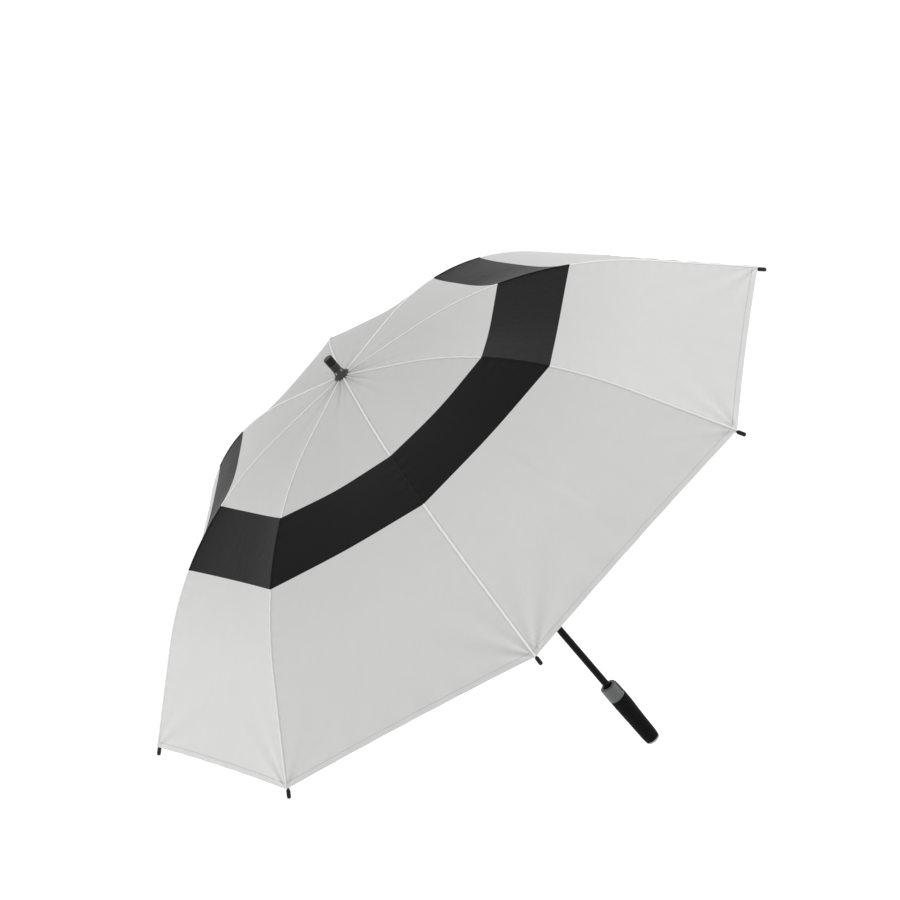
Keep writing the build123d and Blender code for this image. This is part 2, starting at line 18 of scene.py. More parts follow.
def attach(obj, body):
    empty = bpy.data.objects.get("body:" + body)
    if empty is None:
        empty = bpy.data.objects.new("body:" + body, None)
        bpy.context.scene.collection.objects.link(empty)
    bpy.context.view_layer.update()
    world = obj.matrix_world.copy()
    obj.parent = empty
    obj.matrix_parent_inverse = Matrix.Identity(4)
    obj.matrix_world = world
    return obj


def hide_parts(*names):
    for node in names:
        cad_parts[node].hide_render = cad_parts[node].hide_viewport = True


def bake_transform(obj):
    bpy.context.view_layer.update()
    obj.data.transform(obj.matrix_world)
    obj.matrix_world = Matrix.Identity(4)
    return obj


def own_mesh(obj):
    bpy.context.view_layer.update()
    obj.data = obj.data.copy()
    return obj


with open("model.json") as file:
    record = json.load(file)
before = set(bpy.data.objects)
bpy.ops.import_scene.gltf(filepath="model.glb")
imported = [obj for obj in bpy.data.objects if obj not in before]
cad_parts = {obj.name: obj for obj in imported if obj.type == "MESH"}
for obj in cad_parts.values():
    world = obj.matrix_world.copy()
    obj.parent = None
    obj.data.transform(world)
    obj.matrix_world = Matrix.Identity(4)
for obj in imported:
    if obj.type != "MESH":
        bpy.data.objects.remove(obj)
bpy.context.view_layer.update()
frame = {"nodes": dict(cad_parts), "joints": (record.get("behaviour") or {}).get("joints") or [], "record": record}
joints = {joint["name"]: joint for joint in frame["joints"]}

# ---------------------------------------------------------------- the seam's shape, as in CAD
RIBS = 8
WEDGE = 2 * pi / RIBS
HALF_WEDGE = WEDGE / 2
CANOPY_RADIUS = 0.650
APEX_Z = 0.890
CROWN_SLOPE = radians(5.3)
RIM_SLOPE = radians(44.5)
SEAM_LINE = 0.146
SEAM_RADIUS = 0.614
SEAM_ARC = SEAM_RADIUS * (RIM_SLOPE - CROWN_SLOPE)
PANEL_START = 0.008
ROD_DROP = 0.0042
ROD_R = 0.00206


def clamp(value, low=0.0, high=1.0):
    return min(max(value, low), high)


def smooth(value):
    """0 to 1 with a soft start and end."""
    value = clamp(value)
    return value * value * (3 - 2 * value)


def slope_at(s):
    """Downward slope of the seam, in radians, at length s from the apex."""
    return CROWN_SLOPE + clamp(s - SEAM_LINE, 0, SEAM_ARC) / SEAM_RADIUS


def seam(s, drop=0.0):
    """(radius, height) of the seam at length s, moved inward by drop."""
    slope = slope_at(s)
    first = min(s, SEAM_LINE)
    last = max(s - SEAM_LINE - SEAM_ARC, 0.0)
    r = first * cos(CROWN_SLOPE) + last * cos(slope)
    z = APEX_Z - first * sin(CROWN_SLOPE) - last * sin(slope)
    r += SEAM_RADIUS * (sin(slope) - sin(CROWN_SLOPE))
    z += SEAM_RADIUS * (cos(slope) - cos(CROWN_SLOPE))
    return r - drop * sin(slope), z - drop * cos(slope)


def azimuth(rib):
    return WEDGE * (rib - 1)


def around(r, angle, z):
    return Vector((r * cos(angle), r * sin(angle), z))


def ridge_point(rib, s, drop=0.0):
    """The seam over a rib at length s, moved inward by drop."""
    r, z = seam(s, drop)
    return around(r, azimuth(rib), z)


def chord(s):
    """Straight distance between two neighbouring seams at length s."""
    return 2 * sin(HALF_WEDGE) * seam(s)[0]


def gore_beside(rib, side):
    """The gore on one side of a rib: +1 towards the next rib, -1 towards the last."""
    return rib if side > 0 else (rib - 2) % RIBS + 1


def rib_axes(rib, s):
    """Along the rib, out of the cloth, and sideways towards the next rib."""
    angle, slope = azimuth(rib), slope_at(s)
    along = around(cos(slope), angle, -sin(slope))
    out = around(sin(slope), angle, cos(slope))
    side = Vector((-sin(angle), cos(angle), 0))
    return along, out, side


SEAM_END = SEAM_LINE + SEAM_ARC
SEAM_END += (CANOPY_RADIUS - seam(SEAM_END)[0]) / cos(RIM_SLOPE)

fold_joint, flex_joint = joints["rib_fold_1"], joints["rib_flex_1"]
FOLD = radians(fold_joint["range_deg"][1])
FLEX = radians(flex_joint["range_deg"][0])
CROWN_HINGE = (fold_joint["pos_m"][0], fold_joint["pos_m"][2])
FLEX_POINT = (flex_joint["pos_m"][0], flex_joint["pos_m"][2])


def solve(function, low, high):
    """The root of a rising function between low and high."""
    for _ in range(40):
        middle = (low + high) / 2
        if function(middle) < 0:
            low = middle
        else:
            high = middle
    return low


FLEX_S = solve(lambda s: seam(s, ROD_DROP)[0] - FLEX_POINT[0], 0.2, 0.6)


def turned(point, pivot, angle):
    """A (radius, height) point swung downward about a pivot."""
    r, z = point[0] - pivot[0], point[1] - pivot[1]
    return pivot[0] + r * cos(angle) + z * sin(angle), pivot[1] - r * sin(angle) + z * cos(angle)


def folded_radius(s):
    """Distance of the seam from the shaft's axis when the umbrella is closed."""
    point = seam(s)
    if s > FLEX_S:
        point = turned(point, FLEX_POINT, FLEX)
    return turned(point, CROWN_HINGE, FOLD)[0]


# ---------------------------------------------------------------- the cloth's shape
CLOTH_T = 0.0005
SAG = 0.0075                 # the cloth's middle lies this far inside the straight line
HEM_BOW = 0.0030             # how far the hem bows in, along the cloth
HEM_WIDTH = 0.009
HEM_STEP = 0.0004
CROWN_FOLDS = (0.0016, 0.0009)    # heights of the short and the long folds round the ferrule
CROWN_REACH = (0.095, 0.200)      # how far down the cloth they run
PUCKER = 0.00042             # height, reach and pitch of the puckers along a seam
PUCKER_REACH = 0.015
PUCKER_PITCH = 0.023
CORNER_FOLD = 0.0024         # height and reach of the folds that fan out from a tip
CORNER_REACH = 0.085
RIPPLE = 0.0010              # height and reach of the ripples along the hem
RIPPLE_REACH = 0.035
DRIFT = 0.0012               # the widest, lowest unevenness of a gore
random.seed(11)
PHASES = [[random.uniform(0, 2 * pi) for _ in range(6)] for _ in range(RIBS)]


def hem_at(share):
    """Length along the cloth at which the hem lies, share of the way to the next rib."""
    return SEAM_END - HEM_BOW * 4 * share * (1 - share)


def small_folds(gore, s, share):
    """Height of the folds at the crown, along the seams, at the corners and on the hem."""
    phase = PHASES[gore - 1]
    near = gore - 1 if share < 0.5 else gore % RIBS
    to_seam = min(share, 1 - share) * chord(s)
    to_hem = max(hem_at(share) - s, 0.0)
    middle = sin(pi * share)
    short, long = (
        height * exp(-((s / reach) ** 2)) for height, reach in zip(CROWN_FOLDS, CROWN_REACH)
    )
    crown = short * smooth(s / 0.03) * cos(8 * pi * share + phase[0]) * middle
    crown += long * cos(4 * pi * share + phase[1]) * middle
    wave = sin(2 * pi * s / PUCKER_PITCH + 1.4 * sin(s / 0.051 + PHASES[near][2]))
    pucker = PUCKER * exp(-to_seam / PUCKER_REACH) * wave
    pucker *= smooth(to_seam / 0.004) * smooth(s / 0.08)
    reach = hypot(to_hem, to_seam)
    spread = atan2(to_seam, to_hem + 1e-6)
    corner = CORNER_FOLD * exp(-reach / CORNER_REACH) * smooth(reach / 0.02) * sin(2 * spread)
    corner *= sin(9 * spread + PHASES[near][3])
    ripple = RIPPLE * exp(-to_hem / RIPPLE_REACH) * sin(14 * pi * share + phase[4]) * middle
    drift = DRIFT * sin(2 * pi * share + phase[5]) * sin(pi * s / SEAM_END) * middle
    return crown + pucker + corner + ripple + drift


def hem_lift(s, share):
    """The hem is folded over, so the cloth is thicker there."""
    return HEM_STEP * smooth((s - hem_at(share) + HEM_WIDTH) / 0.0009 + 0.5)


def cloth(gore, s, share, lift=0.0):
    """A point of the cloth at length s, share of the way from rib gore to the next rib."""
    r, z = seam(s)
    start, middle = azimuth(gore), azimuth(gore) + HALF_WEDGE
    flat = around(r * (1 - share), start, z) + around(r * share, start + WEDGE, 0)
    tilt = atan2(tan(slope_at(s)), cos(HALF_WEDGE))
    normal = around(sin(tilt), middle, cos(tilt))
    sag = SAG * 4 * share * (1 - share) * sin(pi * clamp(s / SEAM_END) ** 1.15) ** 0.8
    return flat + normal * (lift - sag + small_folds(gore, s, share))


def cloth_normal(gore, s, share):
    """The cloth's normal, on its upper side."""
    ds, dv = 0.0006, 0.0015
    forward = cloth(gore, s + ds, share) - cloth(gore, s - ds, share)
    sideways = cloth(gore, s, clamp(share + dv)) - cloth(gore, s, clamp(share - dv))
    normal = forward.cross(sideways).normalized()
    return normal if normal.z >= 0 else -normal


def cut_length(s, share):
    """Length along the cloth, share away from the rib, level with length s on the rib."""
    r0, z0 = seam(s)
    slope = slope_at(s)
    side = 1 - share * (1 - cos(WEDGE))

    def past(length):
        r, z = seam(length)
        return (r * side - r0) * cos(slope) - (z - z0) * sin(slope)

    return solve(past, s, s + 0.2)


# ---------------------------------------------------------------- mesh helpers
class Builder:
    """Collects points, faces, materials and attributes of one piece."""

    def __init__(self):
        self.points = []
        self.faces = []
        self.slots = []
        self.normals = []
        self.marks = []

    def point(self, place, normal=None, mark=(0.0, 0.0, 0.0)):
        self.points.append(place)
        self.normals.append(normal)
        self.marks.append(mark)
        return len(self.points) - 1

    def face(self, corners, slot=0):
        self.faces.append(corners)
        self.slots.append(slot)

    def tube(self, rings, slot=0, caps=True):
        """Joins rings of points, each a list of indices, into a closed tube."""
        for first, second in zip(rings, rings[1:]):
            count = len(first)
            for i in range(count):
                j = (i + 1) % count
                self.face([first[i], first[j], second[j], second[i]], slot)
        if caps:
            self.face(list(reversed(rings[0])), slot)
            self.face(list(rings[-1]), slot)

    def sheet(self, outer, inner, flip=False):
        """Closes two grids of points, one over the other, into a thin sheet."""
        columns, rows = len(outer[0]) - 1, len(outer) - 1
        for grid, turned_over in ((outer, flip), (inner, not flip)):
            for upper, lower in zip(grid, grid[1:]):
                for i in range(columns):
                    corners = [upper[i], lower[i], lower[i + 1], upper[i + 1]]
                    self.face(corners[::-1] if turned_over else corners)
        rim = [(outer[0][i], inner[0][i]) for i in range(columns + 1)]
        rim += [(outer[j][-1], inner[j][-1]) for j in range(1, rows + 1)]
        rim += [(outer[-1][i], inner[-1][i]) for i in range(columns - 1, -1, -1)]
        rim += [(outer[j][0], inner[j][0]) for j in range(rows - 1, 0, -1)]
        for (a, b), (c, d) in zip(rim, rim[1:] + rim[:1]):
            self.face([b, d, c, a] if flip else [a, c, d, b])

    def make(self, name, materials, sharp=radians(40)):
        """The finished object. Edges steeper than sharp stay sharp."""
        mesh = bpy.data.meshes.new(name)
        mesh.from_pydata([tuple(p) for p in self.points], [], self.faces)
        for entry in materials:
            mesh.materials.append(entry)
        mesh.polygons.foreach_set("material_index", self.slots)
        mesh.polygons.foreach_set("use_smooth", [True] * len(self.faces))
        marks = mesh.attributes.new("cloth", "FLOAT_VECTOR", "POINT")
        marks.data.foreach_set("vector", [value for mark in self.marks for value in mark])
        mesh.update()
        mesh.set_sharp_from_angle(angle=sharp)
        if any(normal is not None for normal in self.normals):
            mesh.normals_split_custom_set(self.loop_normals(mesh))
        piece = bpy.data.objects.new(name, mesh)
        bpy.context.scene.collection.objects.link(piece)
        return piece

    def loop_normals(self, mesh):
        """The cloth's own normals, so that pieces cut from one gore shade as one."""
        normals = []
        for polygon in mesh.polygons:
            for corner in polygon.vertices:
                normal = self.normals[corner]
                facing = normal is not None and abs(normal.dot(polygon.normal)) > 0.6
                normals.append(tuple(normal if facing else polygon.normal))
        return normals


def spindle(build, start, end, out, width, slot, mark=(0.0, 0.0, 0.0)):
    """One stitch: a short thread that dips into the cloth at both ends."""
    along = end - start
    side = along.cross(out).normalized() * width
    first = build.point(start - out * width * 0.6, None, mark)
    last = build.point(end - out * width * 0.6, None, mark)
    ring = []
    for place in (0.3, 0.7):
        middle = start + along * place
        ring.append([
            build.point(middle + side, None, mark),
            build.point(middle + out * width * 1.2, None, mark),
            build.point(middle - side, None, mark),
            build.point(middle - out * width * 0.6, None, mark),
        ])
    build.tube(ring, slot, caps=False)
    for i in range(4):
        j = (i + 1) % 4
        build.face([first, ring[0][j], ring[0][i]], slot)
        build.face([last, ring[1][i], ring[1][j]], slot)


# ---------------------------------------------------------------- materials
def new_material(name, colour, roughness, specular=0.5, metallic=0.0):
    """A Principled material, and short ways to add nodes to it."""
    made = bpy.data.materials.new(name)
    made.use_nodes = True
    nodes, links = made.node_tree.nodes, made.node_tree.links
    shader = nodes["Principled BSDF"]
    shader.inputs["Base Color"].default_value = (*colour, 1)
    shader.inputs["Roughness"].default_value = roughness
    shader.inputs["Metallic"].default_value = metallic
    shader.inputs["Specular IOR Level"].default_value = specular
    return made, nodes, links, shader


def noise(nodes, links, vector, scale, detail=4.0, rough=0.55):
    node = nodes.new("ShaderNodeTexNoise")
    node.inputs["Scale"].default_value = scale
    node.inputs["Detail"].default_value = detail
    node.inputs["Roughness"].default_value = rough
    links.new(vector, node.inputs["Vector"])
    return node.outputs["Fac"]


def ramp(nodes, links, value, low, high, start=0.0, end=1.0):
    node = nodes.new("ShaderNodeMapRange")
    for name, number in (("From Min", start), ("From Max", end), ("To Min", low), ("To Max", high)):
        node.inputs[name].default_value = number
    links.new(value, node.inputs["Value"])
    return node.outputs["Result"]


def bump(nodes, links, shader, layers):
    """Chains bump nodes. Each layer is (height, distance in metres, strength)."""
    below = None
    for height, distance, strength in layers:
        node = nodes.new("ShaderNodeBump")
        node.inputs["Distance"].default_value = distance
        node.inputs["Strength"].default_value = strength
        links.new(height, node.inputs["Height"])
        if below is not None:
            links.new(below, node.inputs["Normal"])
        below = node.outputs["Normal"]
    links.new(below, shader.inputs["Normal"])


def worked_out(nodes, links, operation, first, second=None):
    """A math node's result. second is a socket, a number or nothing."""
    node = nodes.new("ShaderNodeMath")
    node.operation = operation
    links.new(first, node.inputs[0])
    if isinstance(second, float):
        node.inputs[1].default_value = second
    elif second is not None:
        links.new(second, node.inputs[1])
    return node.outputs["Value"]


def object_vector(nodes):
    return nodes.new("ShaderNodeTexCoord").outputs["Object"]


def mixed_colour(nodes, links, factor, first, second, socket):
    """Joins a mix of two colours to a socket."""
    node = nodes.new("ShaderNodeMix")
    node.data_type = "RGBA"
    links.new(factor, node.inputs["Factor"])
    node.inputs["A"].default_value = (*first, 1)
    node.inputs["B"].default_value = (*second, 1)
    links.new(node.outputs["Result"], socket)
    return node


def moulded(name, colour, roughness, specular, grain, depth):
    """Moulded plastic or rubber with a fine grain and slightly uneven gloss."""
    made, nodes, links, shader = new_material(name, colour, roughness, specular)
    vector = object_vector(nodes)
    fine = noise(nodes, links, vector, grain, 3.0)
    wide = noise(nodes, links, vector, 60.0, 3.0)
    gloss = ramp(nodes, links, wide, roughness - 0.06, roughness + 0.08, 0.3, 0.7)
    links.new(gloss, shader.inputs["Roughness"])
    lighter = tuple(min(1.0, channel * 1.35 + 0.002) for channel in colour)
    mixed_colour(nodes, links, wide, colour, lighter, shader.inputs["Base Color"])
    bump(nodes, links, shader, [(fine, depth, 0.5), (wide, depth * 2, 0.25)])
    return made


BRUSHED = (60.0, 60.0, 2600.0)    # how fine a metal's grain is in each direction
PLATED = (400.0, 400.0, 400.0)


def metal(name, colour, roughness, brushed=True):
    """Metal with small stains. Brushed metal has fine drawing lines round its axis."""
    made, nodes, links, shader = new_material(name, colour, roughness, 0.5, 1.0)
    vector = object_vector(nodes)
    stretch = nodes.new("ShaderNodeMapping")
    stretch.inputs["Scale"].default_value = BRUSHED if brushed else PLATED
    links.new(vector, stretch.inputs["Vector"])
    lines = noise(nodes, links, stretch.outputs["Vector"], 1.0, 2.0)
    stains = noise(nodes, links, vector, 90.0, 3.0)
    gloss = ramp(nodes, links, stains, roughness * 0.8, roughness * 1.35, 0.3, 0.7)
    links.new(gloss, shader.inputs["Roughness"])
    bump(nodes, links, shader, [(lines, 0.00002, 0.3)])
    return made


BAND_START = 0.300           # the printed band, measured along the cloth from the apex
BAND_END = 0.425
CLOTH_WHITE = (0.640, 0.640, 0.632)
CLOTH_SHADE = (0.605, 0.607, 0.602)
PRINT_BLACK = (0.0035, 0.0035, 0.0038)
THREAD_PITCH = 0.00042       # two threads of the weave, one over and one under
# painted highlight: the colour the seam's raised ridge is lightened to, where it would catch the light
SEAM_HIGHLIGHT = (0.800, 0.800, 0.790)
LINE_COLOUR = (0.212, 0.212, 0.211)
LINE_SHADE = 0.28            # how much of LINE_COLOUR shows beside a seam and at the hem's fold
SEAM_SHADE = (0.0008, 0.0018, 0.0024, 0.0052)
HEM_SHADE = [SEAM_END - back for back in (0.0106, 0.0094, 0.0090, 0.0080)]


def tinted(nodes, links, factor, tint, colour):
    """Mixes one more colour over a tint."""
    mix = nodes.new("ShaderNodeMix")
    mix.data_type = "RGBA"
    links.new(factor, mix.inputs["Factor"])
    links.new(tint.outputs["Result"], mix.inputs["A"])
    mix.inputs["B"].default_value = (*colour, 1)
    return mix


def shade_line(nodes, links, distance, places, tint):
    """Darkens the cloth softly between four distances: start, full, full, end."""
    rise = ramp(nodes, links, distance, 0.0, 1.0, places[0], places[1])
    fall = ramp(nodes, links, distance, LINE_SHADE, 0.0, places[2], places[3])
    both = worked_out(nodes, links, "MULTIPLY", rise, fall)
    return tinted(nodes, links, both, tint, LINE_COLOUR)


def cloth_material(name, printed=True):
    """Coated pongee: plain weave and faint crumple. Printed cloth also has the band, with painted shade beside the
    seams and at the hem's fold and a painted highlight along each seam's ridge.
    """
    made, nodes, links, shader = new_material(name, CLOTH_WHITE, 0.52, 0.16)
    shader.inputs["Sheen Weight"].default_value = 0.03
    shader.inputs["Sheen Roughness"].default_value = 0.45
    where = nodes.new("ShaderNodeAttribute")
    where.attribute_name = "cloth"
    vector = where.outputs["Vector"]
    split = nodes.new("ShaderNodeSeparateXYZ")
    links.new(vector, split.inputs["Vector"])
    threads = []
    for axis in ("X", "Y"):
        turn = worked_out(nodes, links, "MULTIPLY", split.outputs[axis], 2 * pi / THREAD_PITCH)
        threads.append(worked_out(nodes, links, "SINE", turn))
    weave = worked_out(nodes, links, "MULTIPLY", *threads)
    crumple = noise(nodes, links, vector, 28.0, 5.0, 0.6)
    slub_map = nodes.new("ShaderNodeMapping")
    slub_map.inputs["Scale"].default_value = (900.0, 45.0, 1.0)
    links.new(vector, slub_map.inputs["Vector"])
    slubs = noise(nodes, links, slub_map.outputs["Vector"], 1.0, 2.0)
    colour = shader.inputs["Base Color"]
    tint = mixed_colour(nodes, links, crumple, CLOTH_SHADE, CLOTH_WHITE, colour)
    if printed:
        for axis, places in (("Z", SEAM_SHADE), ("Y", HEM_SHADE)):
            tint = shade_line(nodes, links, split.outputs[axis], places, tint)
        # painted highlight along the seam's ridge, where the raised seam would catch the light
        ridge = ramp(nodes, links, split.outputs["Z"], 1.0, 0.0, SEAM_SHADE[0] / 2, SEAM_SHADE[0])
        tint = tinted(nodes, links, ridge, tint, SEAM_HIGHLIGHT)
        past_start = worked_out(nodes, links, "GREATER_THAN", split.outputs["Y"], BAND_START)
        before_end = worked_out(nodes, links, "LESS_THAN", split.outputs["Y"], BAND_END)
        band = worked_out(nodes, links, "MULTIPLY", past_start, before_end)
        ink = tinted(nodes, links, band, tint, PRINT_BLACK)
        links.new(ink.outputs["Result"], colour)
    links.new(ramp(nodes, links, slubs, 0.46, 0.60, 0.3, 0.7), shader.inputs["Roughness"])
    bump(nodes, links, shader, [
        (crumple, 0.0010, 0.35),
        (slubs, 0.00006, 0.5),
        (weave, 0.00004, 0.35),
    ])
    return made


def fibreglass_material():
    """Drawn black fibreglass: semi-gloss with lines along the rod."""
    made, nodes, links, shader = new_material("black_fibreglass", (0.012, 0.012, 0.013), 0.34, 0.4)
    vector = object_vector(nodes)
    fine = noise(nodes, links, vector, 900.0, 2.0)
    wide = noise(nodes, links, vector, 35.0, 2.0)
    links.new(ramp(nodes, links, wide, 0.28, 0.42, 0.3, 0.7), shader.inputs["Roughness"])
    dark, light = (0.010, 0.010, 0.011), (0.02, 0.02, 0.02)
    mixed_colour(nodes, links, wide, dark, light, shader.inputs["Base Color"])
    bump(nodes, links, shader, [(fine, 0.00003, 0.4)])
    return made


MATERIALS = {
    "canopy": cloth_material("printed_pongee"),
    "strap": cloth_material("plain_pongee", printed=False),
    "thread": moulded("sewing_thread", (0.66, 0.66, 0.65), 0.62, 0.3, 2400.0, 0.00003),
    "fibreglass": fibreglass_material(),
    "tube": moulded("painted_shaft", (0.0030, 0.0030, 0.0030), 0.34, 0.07, 700.0, 0.00001),
    "grip": moulded("soft_grip_rubber", (0.0026, 0.0026, 0.0026), 0.60, 0.05, 1500.0, 0.00005),
    "collar": moulded("grey_collar_plastic", (0.078, 0.079, 0.080), 0.46, 0.35, 1300.0, 0.00003),
    "plastic": moulded(
        "black_moulded_plastic", (0.0045, 0.0045, 0.0045), 0.45, 0.18, 1100.0, 0.00003
    ),
    "gloss": moulded("gloss_black_plastic", (0.003, 0.003, 0.003), 0.20, 0.28, 500.0, 0.00001),
    "gunmetal": metal("dark_plated_metal", (0.070, 0.069, 0.068), 0.14, brushed=False),
    "steel": metal("bright_steel_wire", (0.56, 0.56, 0.57), 0.24),
    "silver": metal("satin_silver", (0.30, 0.305, 0.31), 0.34),
    "stretcher": moulded("black_coated_steel", (0.010, 0.010, 0.010), 0.36, 0.45, 800.0, 0.00002),
}

SLOT_MATERIALS = {
    "black_tube": "tube",
    "spring_steel": "steel",
    "black_plastic": "plastic",
    "gunmetal": "gunmetal",
    "gloss_black": "gloss",
    "grip_rubber": "grip",
    "collar_grey": "collar",
    "end_silver": "silver",
    "fibreglass": "fibreglass",
    "stretcher_steel": "stretcher",
    "canopy_fabric": "canopy",
    "strap_fabric": "strap",
}


def dress_cad_nodes():
    """Every CAD node takes the material of its slot in the record."""
    for part in frame["record"]["subparts"]:
        node = frame["nodes"][part["node"]]
        finish = MATERIALS[SLOT_MATERIALS[part["material_slot"]]]
        if not node.material_slots:
            node.data.materials.append(finish)
        for entry in node.material_slots:
            entry.material = finish


# ---------------------------------------------------------------- canopy
COLUMNS = 26
ROW_LENGTH = 0.006
HEM_MIDDLE = 0.045           # the last strip's gather is worked out about this far past its start
TUCK_END = 0.020             # the last tucked strip's gather is worked out this far in from the hem
SHARES = [0.5 * (i / COLUMNS) ** 1.5 for i in range(COLUMNS + 1)]
HEM_ROWS = [0.0100, 0.0094, 0.0090, 0.0086, 0.0060, 0.0030, 0.0008, 0.0]
OVER_CUTS = [PANEL_START, 0.045, 0.080, 0.120, 0.170, 0.230, 0.300]
OVER_CUTS += [FLEX_S, 0.440, 0.520, 0.610, SEAM_END]
UNDER_CUTS = [PANEL_START, 0.120, 0.210, 0.300, FLEX_S, 0.520, SEAM_END]
FLAP = 0.010                 # each strip runs on this far beneath the strip above it
FLAP_DROP = 0.0006
FLAP_GAP = 0.0001            # the length over which a flap steps up to its strip
FLAP_LEAST = 0.05            # the share of a flap that is left at the rod
FLAP_CLEAR = 0.012           # a flap shortens within this distance of the rod
HEM_STITCH = 0.0026          # length and pitch of the hem's stitches
HEM_STITCH_PITCH = 0.0036
HEM_STITCH_IN = 0.0080       # how far in from the edge they run


def strip_rows(start, end):
    """Rows of one strip: (drop, cloth lengths), a length for each share in SHARES."""
    first = [start if start == PANEL_START else cut_length(start, share) for share in SHARES]
    if end == SEAM_END:
        last = [hem_at(share) - HEM_ROWS[0] for share in SHARES]
    else:
        last = [cut_length(end, share) for share in SHARES]
    count = max(2, ceil((last[0] - first[0]) / ROW_LENGTH))
    rows = []
    if start > PANEL_START:
        clear = [smooth(share * chord(start) / FLAP_CLEAR) for share in SHARES]
        part = [FLAP_LEAST + (1 - FLAP_LEAST) * value for value in clear]
        for back in (FLAP, FLAP / 2, FLAP_GAP):
            rows.append((FLAP_DROP, [s - back * value for s, value in zip(first, part)]))
    for i in range(count + 1):
        rows.append((0.0, [a + (b - a) * i / count for a, b in zip(first, last)]))
    if end == SEAM_END:
        for depth in HEM_ROWS[1:]:
            rows.append((0.0, [hem_at(share) - depth for share in SHARES]))
    return rows


def add_hem_stitches(build, gore, side):
    """A row of stitches that holds the folded hem."""
    step = HEM_STITCH_PITCH / (2 * CANOPY_RADIUS * sin(HALF_WEDGE))
    count = int(0.5 / step)
    for i in range(1, count):
        share = i * step if side > 0 else 1 - i * step
        ahead = share + side * step * HEM_STITCH / HEM_STITCH_PITCH
        out = cloth_normal(gore, hem_at(share) - HEM_STITCH_IN, share)
        ends = [cloth(gore, hem_at(t) - HEM_STITCH_IN, t, HEM_STEP) for t in (share, ahead)]
        spindle(build, ends[0], ends[1], out, 0.00022, 1)


def cloth_strip(rib, side, start, end):
    """One strip of the half gore on one side of a rib, with its rows and its flat area."""
    gore = gore_beside(rib, side)
    rows = strip_rows(start, end)
    build = Builder()
    layers = ([], [])
    for drop, row in rows:
        outer, inner = [], []
        for share, s in zip(SHARES, row):
            across = share if side > 0 else 1 - share
            normal = cloth_normal(gore, s, across)
            lift = hem_lift(s, across)
            place = cloth(gore, s, across, lift - drop)
            level = s + HEM_BOW * 4 * share * (1 - share) * (s / SEAM_END) ** 2
            mark = (across * chord(s) + gore, level, share * chord(s))
            outer.append(build.point(place, normal, mark))
            inner.append(build.point(place - normal * (CLOTH_T + 2 * lift), -normal, mark))
        layers[0].append(outer)
        layers[1].append(inner)
    build.sheet(*layers, flip=side < 0)
    if end == SEAM_END:
        add_hem_stitches(build, gore, side)
    return build, rows, flat_area(rows)


def flat_area(rows):
    """Area of a strip's flat cut, which is the straight panel's own area."""
    total = 0.0
    for (_, upper), (_, lower) in zip(rows, rows[1:]):
        for i in range(COLUMNS):
            width = (SHARES[i + 1] - SHARES[i]) * chord(upper[i])
            slope = slope_at(upper[i])
            height = lower[i] - upper[i]
            total += width * height * hypot(cos(HALF_WEDGE) * cos(slope), sin(slope))
    return total


def gather(piece, rib, side, start, end):
    """Works out where closing would gather a strip against its rib, over the next rib or tucked under, and gives
    the strip its own mesh; nothing moves it.
    """
    over = side > 0
    if over:
        middle = (start + end) / 2 if end < SEAM_END else start + HEM_MIDDLE
    else:
        middle = min(end, SEAM_END - TUCK_END)
    s = cut_length(middle, 0.5)
    ridge = ridge_point(rib, middle)
    gore = gore_beside(rib, side)
    offset = cloth(gore, s, 0.5) - ridge
    radius = folded_radius(middle)
    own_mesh(piece)


def make_canopy():
    """Every strip of every half gore, riding its rib's inner or outer body."""
    for rib in range(1, RIBS + 1):
        for side, cuts in ((1, OVER_CUTS), (-1, UNDER_CUTS)):
            for number, (start, end) in enumerate(zip(cuts, cuts[1:]), 1):
                build, rows, area = cloth_strip(rib, side, start, end)
                half = "over" if side > 0 else "under"
                piece = build.make(
                    f"canopy_{rib}_{half}_{number}", [MATERIALS["canopy"], MATERIALS["thread"]]
                )
                part = "rib_inner" if end <= FLEX_S else "rib_outer"
                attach(piece, f"{part}_{rib}")
                if side > 0 and number == 1:
                    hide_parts(f"canopy_panel_{rib}")
                width = sin(HALF_WEDGE) * max(seam(s)[0] for s in rows[-1][1])
                gather(piece, rib, side, start, end)


SEAM_STITCH = 0.0034         # pitch of the stitches along a seam
SEAM_STITCH_OUT = 0.0029     # how far beside the seam they run
RING_STEP = 0.005            # distance between the rings of a seam or a rod
SEAM_PROFILE = [(-0.0018, -0.0012), (-0.0014, 0.0002), (-0.0007, 0.0008), (0, 0.00095)]
SEAM_PROFILE += [(-y, h) for y, h in SEAM_PROFILE[-2::-1]] + [(0, -0.0016)]


def make_seam(rib):
    """The raised seam over a rib, with a row of stitches on each side."""
    build = Builder()
    rings = []
    start, end = 0.012, SEAM_END - 0.0004
    count = int((end - start) / RING_STEP)
    for i in range(count + 1):
        s = start + (end - start) * i / count
        _, out, across = rib_axes(rib, s)
        ridge = ridge_point(rib, s)
        drift = 0.00012 * sin(2 * pi * s / PUCKER_PITCH + PHASES[rib - 1][2])
        rings.append([
            build.point(ridge + across * (y + drift) + out * h, None, (y + rib, s, 0.0))
            for y, h in SEAM_PROFILE
        ])
    build.tube(rings)
    stitches = int((SEAM_END - 0.030) / SEAM_STITCH)
    for side in (-1, 1):
        gore = gore_beside(rib, side)
        for i in range(stitches):
            s = 0.024 + i * SEAM_STITCH
            share = SEAM_STITCH_OUT / chord(s)
            across = share if side > 0 else 1 - share
            out = cloth_normal(gore, s, across)
            ends = [cloth(gore, s, across), cloth(gore, s + 0.0024, across)]
            spindle(build, ends[0], ends[1], out, 0.0002, 0, (rib, s, 0.0))
    piece = build.make(f"seam_{rib}", [MATERIALS["canopy"], MATERIALS["thread"]], radians(60))
    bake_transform(piece)


# ---------------------------------------------------------------- ribs
ROD_START = 0.030
TIE_PLACES = [0.105, 0.215, 0.300, 0.455, 0.545, 0.640, 0.715]
TIE_TURNS = (-0.0007, 0.0, 0.0007)
TIE_R = 0.00022              # radius of the thread


